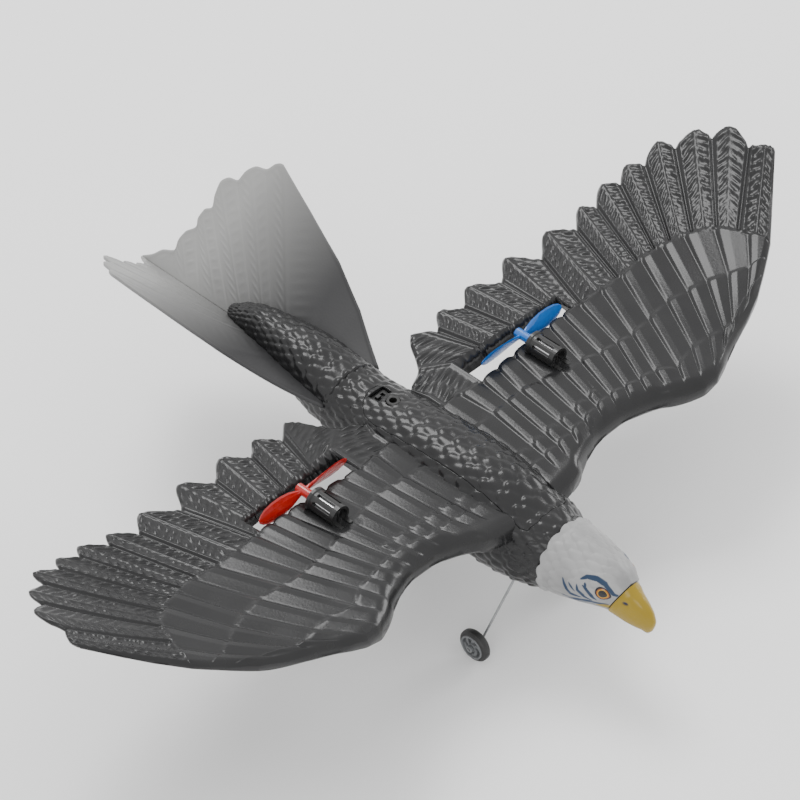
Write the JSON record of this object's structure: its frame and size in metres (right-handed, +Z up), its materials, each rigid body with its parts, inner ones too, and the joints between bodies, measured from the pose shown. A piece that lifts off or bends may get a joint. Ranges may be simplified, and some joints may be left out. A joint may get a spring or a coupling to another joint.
{
  "type": "radio-controlled foam bird flyer",
  "caption": "Foam bird-shaped flyer with motor-driven propellers in wing slots, a V tail, wheels on wire legs and a lift-off back cover.",
  "frame": {"origin": "on the ground plane under the middle of the bounding box; the wheels stand at height 0 with the propeller axes level", "axes": "+X to the bird's left wing tip, -Y to the beak, +Z up"},
  "size_m": [0.512, 0.376, 0.1354],
  "materials": {
    "foam_charcoal": "satin",
    "foam_tail_grey": "satin",
    "head_white": "satin",
    "beak_yellow": "gloss",
    "black_plastic": "satin",
    "steel": "satin",
    "carbon_rod": "satin",
    "propeller_blue": "gloss",
    "propeller_red": "gloss",
    "tyre_black": "matte",
    "wheel_grey": "satin",
    "battery_foil": "satin",
    "circuit_board": "satin",
    "lead_insulation": "satin"
  },
  "bodies": {
    "airframe": {"antenna_wire": "black_plastic", "battery": "battery_foil", "battery_leads": "lead_insulation", "beak": "beak_yellow", "head_shell": "head_white", "left_axle_cap": "black_plastic", "left_leg_wire": "steel", "left_motor_can": "steel", "left_motor_leads": "lead_insulation", "left_motor_pod": "black_plastic", "left_tail_panel": "foam_tail_grey", "left_wing": "foam_charcoal", "leg_mount": "black_plastic", "lower_body": "foam_charcoal", "receiver_board": "circuit_board", "right_axle_cap": "black_plastic", "right_leg_wire": "steel", "right_motor_can": "steel", "right_motor_leads": "lead_insulation", "right_motor_pod": "black_plastic", "right_tail_panel": "foam_tail_grey", "right_wing": "foam_charcoal", "tail_boom": "foam_charcoal", "wing_spar": "carbon_rod"},
    "left_propeller_rotor": {"left_propeller": "propeller_blue", "left_motor_shaft": "steel"},
    "right_propeller_rotor": {"right_propeller": "propeller_red", "right_motor_shaft": "steel"},
    "left_wheel": {"left_wheel_hub": "wheel_grey", "left_wheel_tyre": "tyre_black"},
    "right_wheel": {"right_wheel_hub": "wheel_grey", "right_wheel_tyre": "tyre_black"},
    "cover": {"back_cover": "foam_charcoal", "charge_jack": "black_plastic", "power_switch_body": "black_plastic"},
    "switch_slider": {"power_switch_knob": "black_plastic"}
  },
  "joints": [
    {"name": "left_propeller_spin", "type": "hinge", "parent": "airframe", "child": "left_propeller_rotor", "pos_m": [0.0816, -0.0211, 0.095], "axis": [0, 1, 0], "continuous": true},
    {"name": "left_wheel_roll", "type": "hinge", "parent": "airframe", "child": "left_wheel", "pos_m": [0.04, -0.1027, 0.0095], "axis": [1, 0, 0], "continuous": true},
    {"name": "right_propeller_spin", "type": "hinge", "parent": "airframe", "child": "right_propeller_rotor", "pos_m": [-0.0816, -0.0211, 0.095], "axis": [0, 1, 0], "continuous": true},
    {"name": "right_wheel_roll", "type": "hinge", "parent": "airframe", "child": "right_wheel", "pos_m": [-0.04, -0.1027, 0.0095], "axis": [1, 0, 0], "continuous": true},
    {"name": "cover_lift", "type": "slide", "parent": "airframe", "child": "cover", "axis": [0, 0, 1], "range_m": [0, 0.06]},
    {"name": "switch_slide", "type": "slide", "parent": "cover", "child": "switch_slider", "axis": [1, 0, 0], "range_m": [0, 0.0028]}
  ]
}
